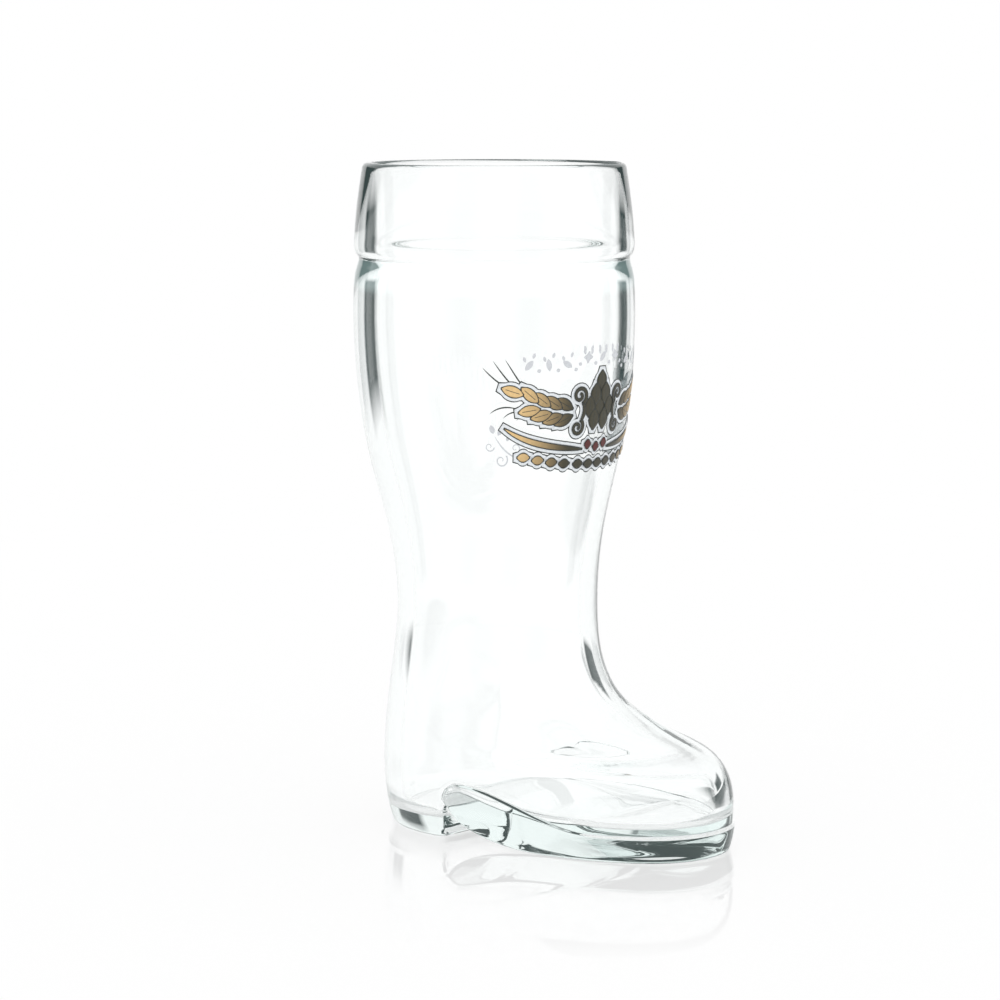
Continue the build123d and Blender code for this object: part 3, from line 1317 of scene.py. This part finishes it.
    def _berries(self) -> list[Stroke]:
        """The berries under the cone.

        Returns:
            The berries.
        """
        return [
            Stroke.lens(
                place * self.berry_pitch, abs(place) * self.berry / 3 - self.berry_drop, 0.0,
                self.berry, self.berry,
            )
            for place in (-1, 0, 1)
        ]

    def _veins(self, strokes: list[Stroke]) -> list[Stroke]:
        """The thin middle lines of strokes, short of their tips.

        Args:
            strokes: The strokes that get a vein each.

        Returns:
            The veins.
        """
        return [
            Stroke(stroke.path[2:-2], np.full(len(stroke.path) - 4, self.vein))
            for stroke in strokes
        ]

    def _both(self, strokes: list[Stroke]) -> list[Stroke]:
        """The strokes and those on the other side of the shin.

        Args:
            strokes: Strokes on the left of the shin or its middle.

        Returns:
            All of the strokes.
        """
        return strokes + [
            stroke.mirrored() for stroke in strokes
            if abs(stroke.path[:, 0].mean()) > self.least_across
        ]

    def films(self) -> dict[Ink, list[tuple[Stroke, float]]]:
        """Every stroke of each ink, with its lift over the glass.

        Returns:
            The strokes by ink.
        """
        veined = self._both(self._ear() + self._cone())
        fill = veined + self._both(self._beads() + self._vines())
        drawn = fill + self._berries()
        rise, row = self.order_step, self.row_step
        top = self._stack(drawn, self.line_lift + self.fill_rise, 0.0, row)
        return {
            Ink.SILVER: self._stack(drawn, self.base_lift, self.band, rise)
            + self._stack(drawn, self.ground_lift, self.band, rise),
            Ink.DARK: self._stack(drawn, self.under_lift, self.outer_line, rise)
            + self._stack(drawn, self.line_lift, self.inner_line, row)
            + self._stack(self._veins(veined), self.line_lift + 2 * self.fill_rise, 0.0, row)
            + self._stack(self._both(self._awns()), self.under_lift, 0.0, rise),
            Ink.GOLD: top[:len(fill)],
            Ink.RED: top[len(fill):],
            Ink.PALE: self._stack(
                self._both(self._leaves() + self._sprig()), self.base_lift, 0.0, rise
            ),
        }

    @staticmethod
    def _stack(
        strokes: list[Stroke], lift: float, grow: float, step: float
    ) -> list[tuple[Stroke, float]]:
        """Lays strokes over one another, each grown and a step higher than the one before."""
        return [(stroke.grown(grow), lift + order * step) for order, stroke in enumerate(strokes)]

    def _wrap(self, spots: np.ndarray, lift: float) -> np.ndarray:
        """Lays flat spots of the print on the shin, lifted off the glass.

        Args:
            spots: The spots, as ways round and up the leg.
            lift: How far off the glass they lie.

        Returns:
            The spots in space, one a row.
        """
        height = self.print_middle + spots[:, 1]
        turn = spots[:, 0] / self.boot.barrel_radius
        front = self.boot.front.reach(height) + lift
        side = self.boot.flank.reach(height) + lift
        return np.stack([front * np.cos(turn), side * np.sin(turn), height], axis=1)

    def _add_film(self, mesh: bmesh.types.BMesh, stroke: Stroke, lift: float) -> None:
        """Adds one stroke to a mesh, as a thin closed film.

        Args:
            mesh: The mesh that gets the film.
            stroke: The stroke.
            lift: How far off the glass the film's underside lies.
        """
        last = len(stroke.path) - 1
        made = bmesh.ops.create_grid(
            mesh, x_segments=last, y_segments=self.across_steps, size=1.0
        )["verts"]
        way = np.gradient(stroke.path, axis=0)
        way /= np.linalg.norm(way, axis=1)[:, None]
        side = np.stack([-way[:, 1], way[:, 0]], axis=1)
        along = np.array([round((vertex.co.x + 1) / 2 * last) for vertex in made])
        across = np.array([vertex.co.y for vertex in made])
        spots = stroke.path[along] + side[along] * (stroke.halves[along] * across)[:, None]
        low, high = self._wrap(spots, lift), self._wrap(spots, lift + self.film)
        for vertex, spot in zip(made, low):
            vertex.co = self.boot.to_frame(spot)
        grid = list(dict.fromkeys(face for vertex in made for face in vertex.link_faces))
        copies = bmesh.ops.duplicate(mesh, geom=grid)
        raised = [copies["vert_map"][vertex] for vertex in made]
        for vertex, spot in zip(raised, high):
            vertex.co = self.boot.to_frame(spot)
        grid += [item for item in copies["geom"] if isinstance(item, bmesh.types.BMFace)]
        rims = dict.fromkeys(edge for face in grid for edge in face.edges if edge.is_boundary)
        bmesh.ops.bridge_loops(mesh, edges=list(rims))
        bmesh.ops.remove_doubles(mesh, verts=made + raised, dist=WELD_REACH)

    def build(self) -> None:
        """Builds every ink's films in place of its CAD node."""
        for ink, films in self.films().items():
            mesh = bmesh.new()
            for stroke, lift in films:
                self._add_film(mesh, stroke, lift)
            bmesh.ops.recalc_face_normals(mesh, faces=mesh.faces)
            piece = as_piece(mesh, "fired_" + ink.slot + "_films")
            dress(piece, FiredEnamel(ink).material())
            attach(piece, "root")
            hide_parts(ink.node)
            LOG.info("built %s with %d strokes", piece.name, len(films))


@dataclass
class Studio:
    """White floor, white surround with narrow dark flags, and the photograph's camera."""

    view_turn: float = 49.35
    view_pitch: float = 6.87
    camera_reach: float = 1042.4
    camera_shift: float = 1.66
    camera_height: float = 221.4
    lens: float = 128.17
    floor_radius: float = 0.88
    floor_sides: int = 96
    floor_solid: float = 0.6
    floor_roughness: float = 0.02
    floor_gloss: float = 0.24
    gloss_reach: tuple[float, float] = (0.07, 0.17)
    floor_glow: float = 0.82
    flag_and_painted_shade_colour: Colour = (0.022, 0.036, 0.036)
    flag_stops: Points = (
        (29.0, 0.0), (33.0, 1.0), (50.0, 1.0), (54.0, 0.0),
        (132.0, 0.0), (143.0, 0.25), (154.0, 0.25), (165.0, 0.0),
    )
    flag_foot: tuple[float, float] = (-24.0, -16.0)
    flag_top: tuple[float, float] = (9.0, 14.0)
    shade_patch_place: tuple[float, float] = (0.205, 0.075)
    shade_patch_radii: tuple[float, float] = (0.105, 0.145)

    def _axes(self) -> tuple[Vector, Vector]:
        """The level view direction and the direction to its right.

        Returns:
            The two directions, of length 1.
        """
        turn = math.radians(self.view_turn)
        return (
            Vector((-math.cos(turn), math.sin(turn), 0.0)),
            Vector((math.sin(turn), math.cos(turn), 0.0)),
        )

    def add_camera(self, leg_x: float) -> None:
        """Adds the camera.

        Args:
            leg_x: Where the leg's axis stands, in mm.
        """
        ahead, right = self._axes()
        place = Vector((leg_x, 0.0, 0.0)) - ahead * self.camera_reach
        place += right * self.camera_shift + UPWARDS * self.camera_height
        data = bpy.data.cameras.new("photo_camera")
        data.lens = self.lens
        camera = bpy.data.objects.new("photo_camera", data)
        bpy.context.scene.collection.objects.link(camera)
        pitch = math.radians(self.view_pitch)
        look = ahead * math.cos(pitch) - UPWARDS * math.sin(pitch)
        camera.matrix_world = (
            Matrix.Translation(place * MM) @ look.to_track_quat("-Z", "Y").to_matrix().to_4x4()
        )
        bpy.context.scene.camera = camera

    def add_surround(self) -> None:
        """Adds the white surround, with dark flags that only glass and gloss see."""
        world = bpy.data.worlds.new("white_studio")
        world.use_nodes = True
        bpy.context.scene.world = world
        board = Board(world.node_tree)
        glossy = board.node("LightPath", output="Is Glossy Ray")
        through = board.node("LightPath", output="Is Transmission Ray")
        colour = board.mix(glossy.larger(through) * self._flags(board), WHITE, self.flag_and_painted_shade_colour)
        shine = board.node("Background", sockets={"Color": colour, "Strength": 1.0})
        board.node("OutputWorld", sockets={"Surface": shine})

    def _flags(self, board: Board) -> Signal:
        """How far the surround is covered by a dark flag, by the way a ray leaves.

        Args:
            board: The board of the surround.

        Returns:
            The share that is covered.
        """
        way = board.node("TexCoord", output="Generated")
        turn = way.along(self._axes()[0]).turn() / math.pi
        stops = tuple((angle / 180.0, (dark,) * 3) for angle, dark in self.flag_stops)
        cover = board.node("ValToRGB", {"stops": stops}, {"Fac": turn})
        for angles in (self.flag_foot, self.flag_top[::-1]):
            cover = cover * way.along(UPWARDS).between(*np.sin(np.radians(angles)).tolist())
        return cover

    def add_floor(self) -> None:
        """Adds the white glossy floor, with a patch of painted shade beside the toe that only
        glass sees.
        """
        mesh = bmesh.new()
        bmesh.ops.create_circle(
            mesh, cap_ends=True, segments=self.floor_sides, radius=self.floor_radius
        )
        floor = as_piece(mesh, "studio_floor")
        made, board = new_material("white_glossy_floor")
        place = board.node("TexCoord", output="Object")
        camera = board.node("LightPath", output="Is Camera Ray")
        through = board.node("LightPath", output="Is Transmission Ray")
        reach = board.node("VectorMath", {"operation": "LENGTH"}, {0: place}, 1)
        ahead, right = self._axes()
        # Painted shade: a dark patch on the floor beside the toe, seen only through the glass,
        # darkens the toe's right side.
        middle = right * self.shade_patch_place[0] + ahead * self.shade_patch_place[1]
        off_shade_patch = board.node("VectorMath", {"operation": "DISTANCE"}, {0: place, 1: middle}, 1)
        painted_shade_share = off_shade_patch.between(*self.shade_patch_radii[::-1]) * through
        gloss = reach.between(*self.gloss_reach[::-1]) * self.floor_gloss
        fade = (reach - self.floor_solid) / (self.floor_radius - self.floor_solid)
        glow, dark = (
            board.node("Emission", sockets={"Color": (*colour, 1.0), "Strength": 1.0})
            for colour in (WHITE, self.flag_and_painted_shade_colour)
        )
        polish = board.node("BsdfAnisotropic", sockets={
            "Color": (*WHITE, 1.0), "Roughness": self.floor_roughness,
        })
        surface = board.node("BsdfDiffuse", sockets={"Color": (*WHITE, 1.0)})
        covers = (
            (camera * self.floor_glow + through, glow), (painted_shade_share, dark), (gloss, polish),
            (fade, board.node("BsdfTransparent")),
        )
        for share, cover in covers:
            surface = board.node("MixShader", sockets={"Fac": share, 1: surface, 2: cover})
        board.node("OutputMaterial", sockets={"Surface": surface})
        dress(floor, made)


def main() -> None:
    """Builds the glass, its print and the studio."""
    logging.basicConfig(level=logging.INFO)
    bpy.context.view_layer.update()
    boot = BootGlass()
    glass = boot.build()
    dress(glass, ClearGlass().material())
    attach(glass, "root")
    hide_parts("boot_glass")
    LOG.info("built %s with %d faces", glass.name, len(glass.data.polygons))
    FiredPrint(boot).build()
    studio = Studio()
    studio.add_camera(boot.leg_x)
    studio.add_surround()
    studio.add_floor()
    bpy.context.scene.view_settings.view_transform = "Standard"


if __name__ == "__main__":
    main()
